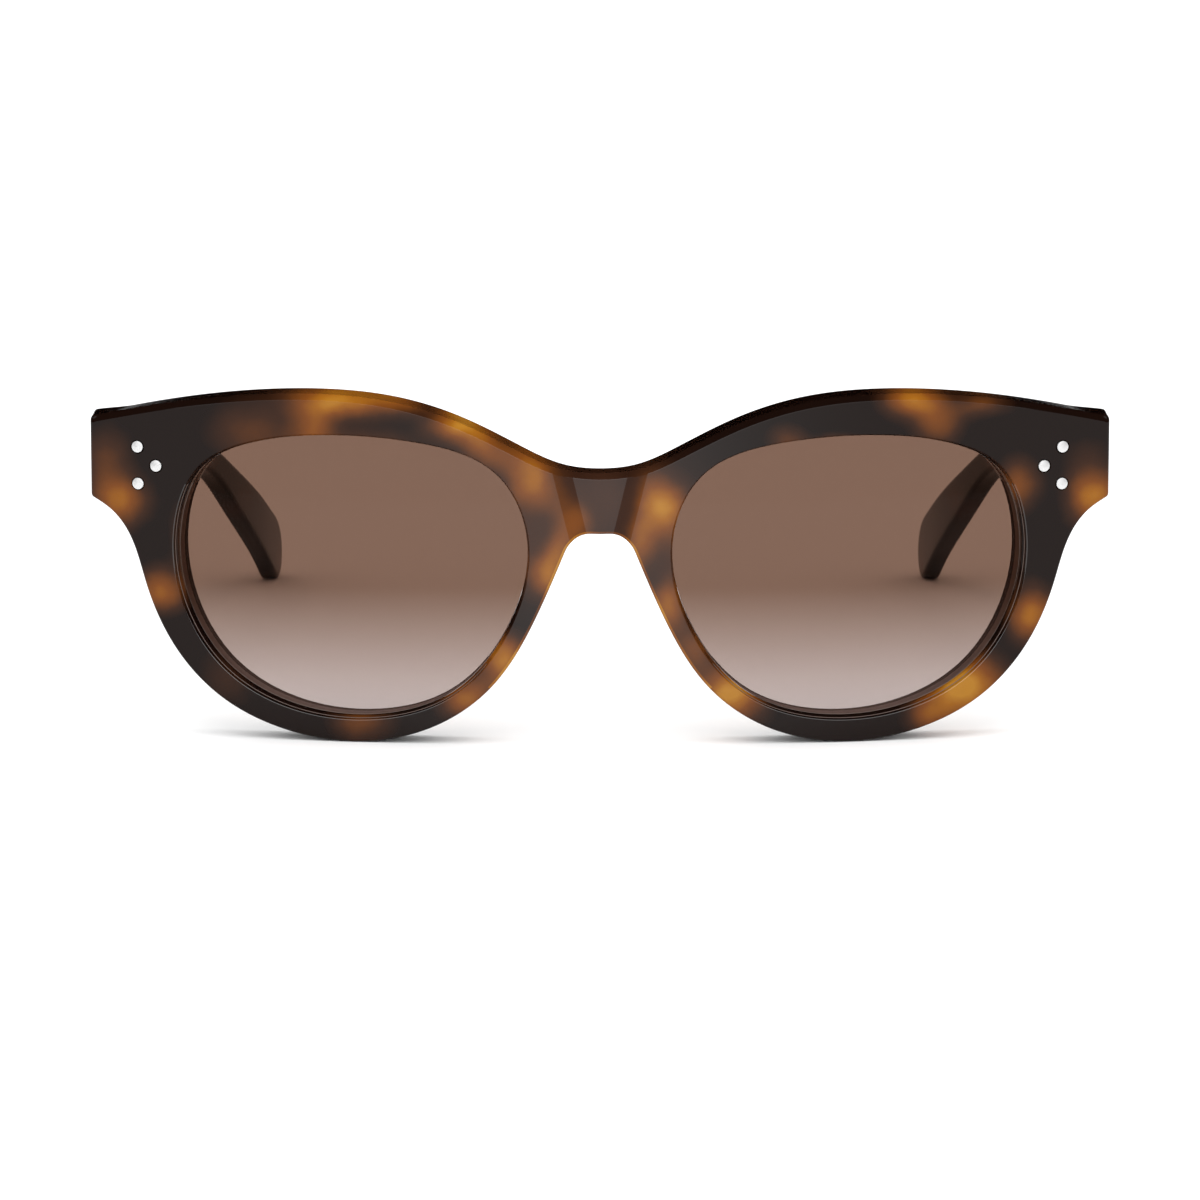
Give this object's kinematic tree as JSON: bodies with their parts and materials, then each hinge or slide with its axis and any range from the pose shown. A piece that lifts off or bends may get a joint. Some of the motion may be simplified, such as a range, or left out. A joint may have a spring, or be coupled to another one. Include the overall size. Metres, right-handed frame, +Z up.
{
  "type": "cat eye sunglasses",
  "caption": "Cat eye sunglasses with an acetate front, gradient lenses and temples that fold on riveted barrel hinges.",
  "frame": {"origin": "centre of the bounding box in plan, on the surface the open sunglasses stand on", "axes": "+X towards the wearer's left, +Y back along the temples, +Z up; the front faces -Y"},
  "size_m": [0.148, 0.1382, 0.0508],
  "materials": {
    "acetate": "polished tortoise, near black with amber patches",
    "tinted_lens": "brown, darker at the top and paler at the bottom",
    "rivet_steel": "polished, slightly domed",
    "screw_steel": "turned",
    "core_wire": "rolled",
    "hinge_metal": "satin nickel silver"
  },
  "bodies": {
    "front": {"front_frame": "acetate", "lens_left": "tinted_lens", "lens_right": "tinted_lens", "nose_pad_left": "acetate", "nose_pad_right": "acetate", "front_hinge_leaf_left": "hinge_metal", "front_hinge_leaf_right": "hinge_metal", "front_rivet_1_left": "rivet_steel", "front_rivet_2_left": "rivet_steel", "front_rivet_3_left": "rivet_steel", "front_rivet_1_right": "rivet_steel", "front_rivet_2_right": "rivet_steel", "front_rivet_3_right": "rivet_steel", "hinge_screw_left": "screw_steel", "hinge_screw_right": "screw_steel"},
    "temple_left_arm": {"temple_left": "acetate", "temple_core_left": "core_wire", "temple_hinge_leaf_left": "hinge_metal", "temple_rivet_1_left": "rivet_steel", "temple_rivet_2_left": "rivet_steel"},
    "temple_right_arm": {"temple_right": "acetate", "temple_core_right": "core_wire", "temple_hinge_leaf_right": "hinge_metal", "temple_rivet_1_right": "rivet_steel", "temple_rivet_2_right": "rivet_steel"}
  },
  "joints": [
    {"name": "left_temple_fold", "type": "hinge", "parent": "front", "child": "temple_left_arm", "pos_m": [0.06829, -0.05122, 0.03965], "axis": [0, 0, 1], "range_deg": [0, 83]},
    {"name": "right_temple_fold", "type": "hinge", "parent": "front", "child": "temple_right_arm", "pos_m": [-0.06829, -0.05122, 0.03965], "axis": [0, 0, -1], "range_deg": [0, 77]}
  ]
}
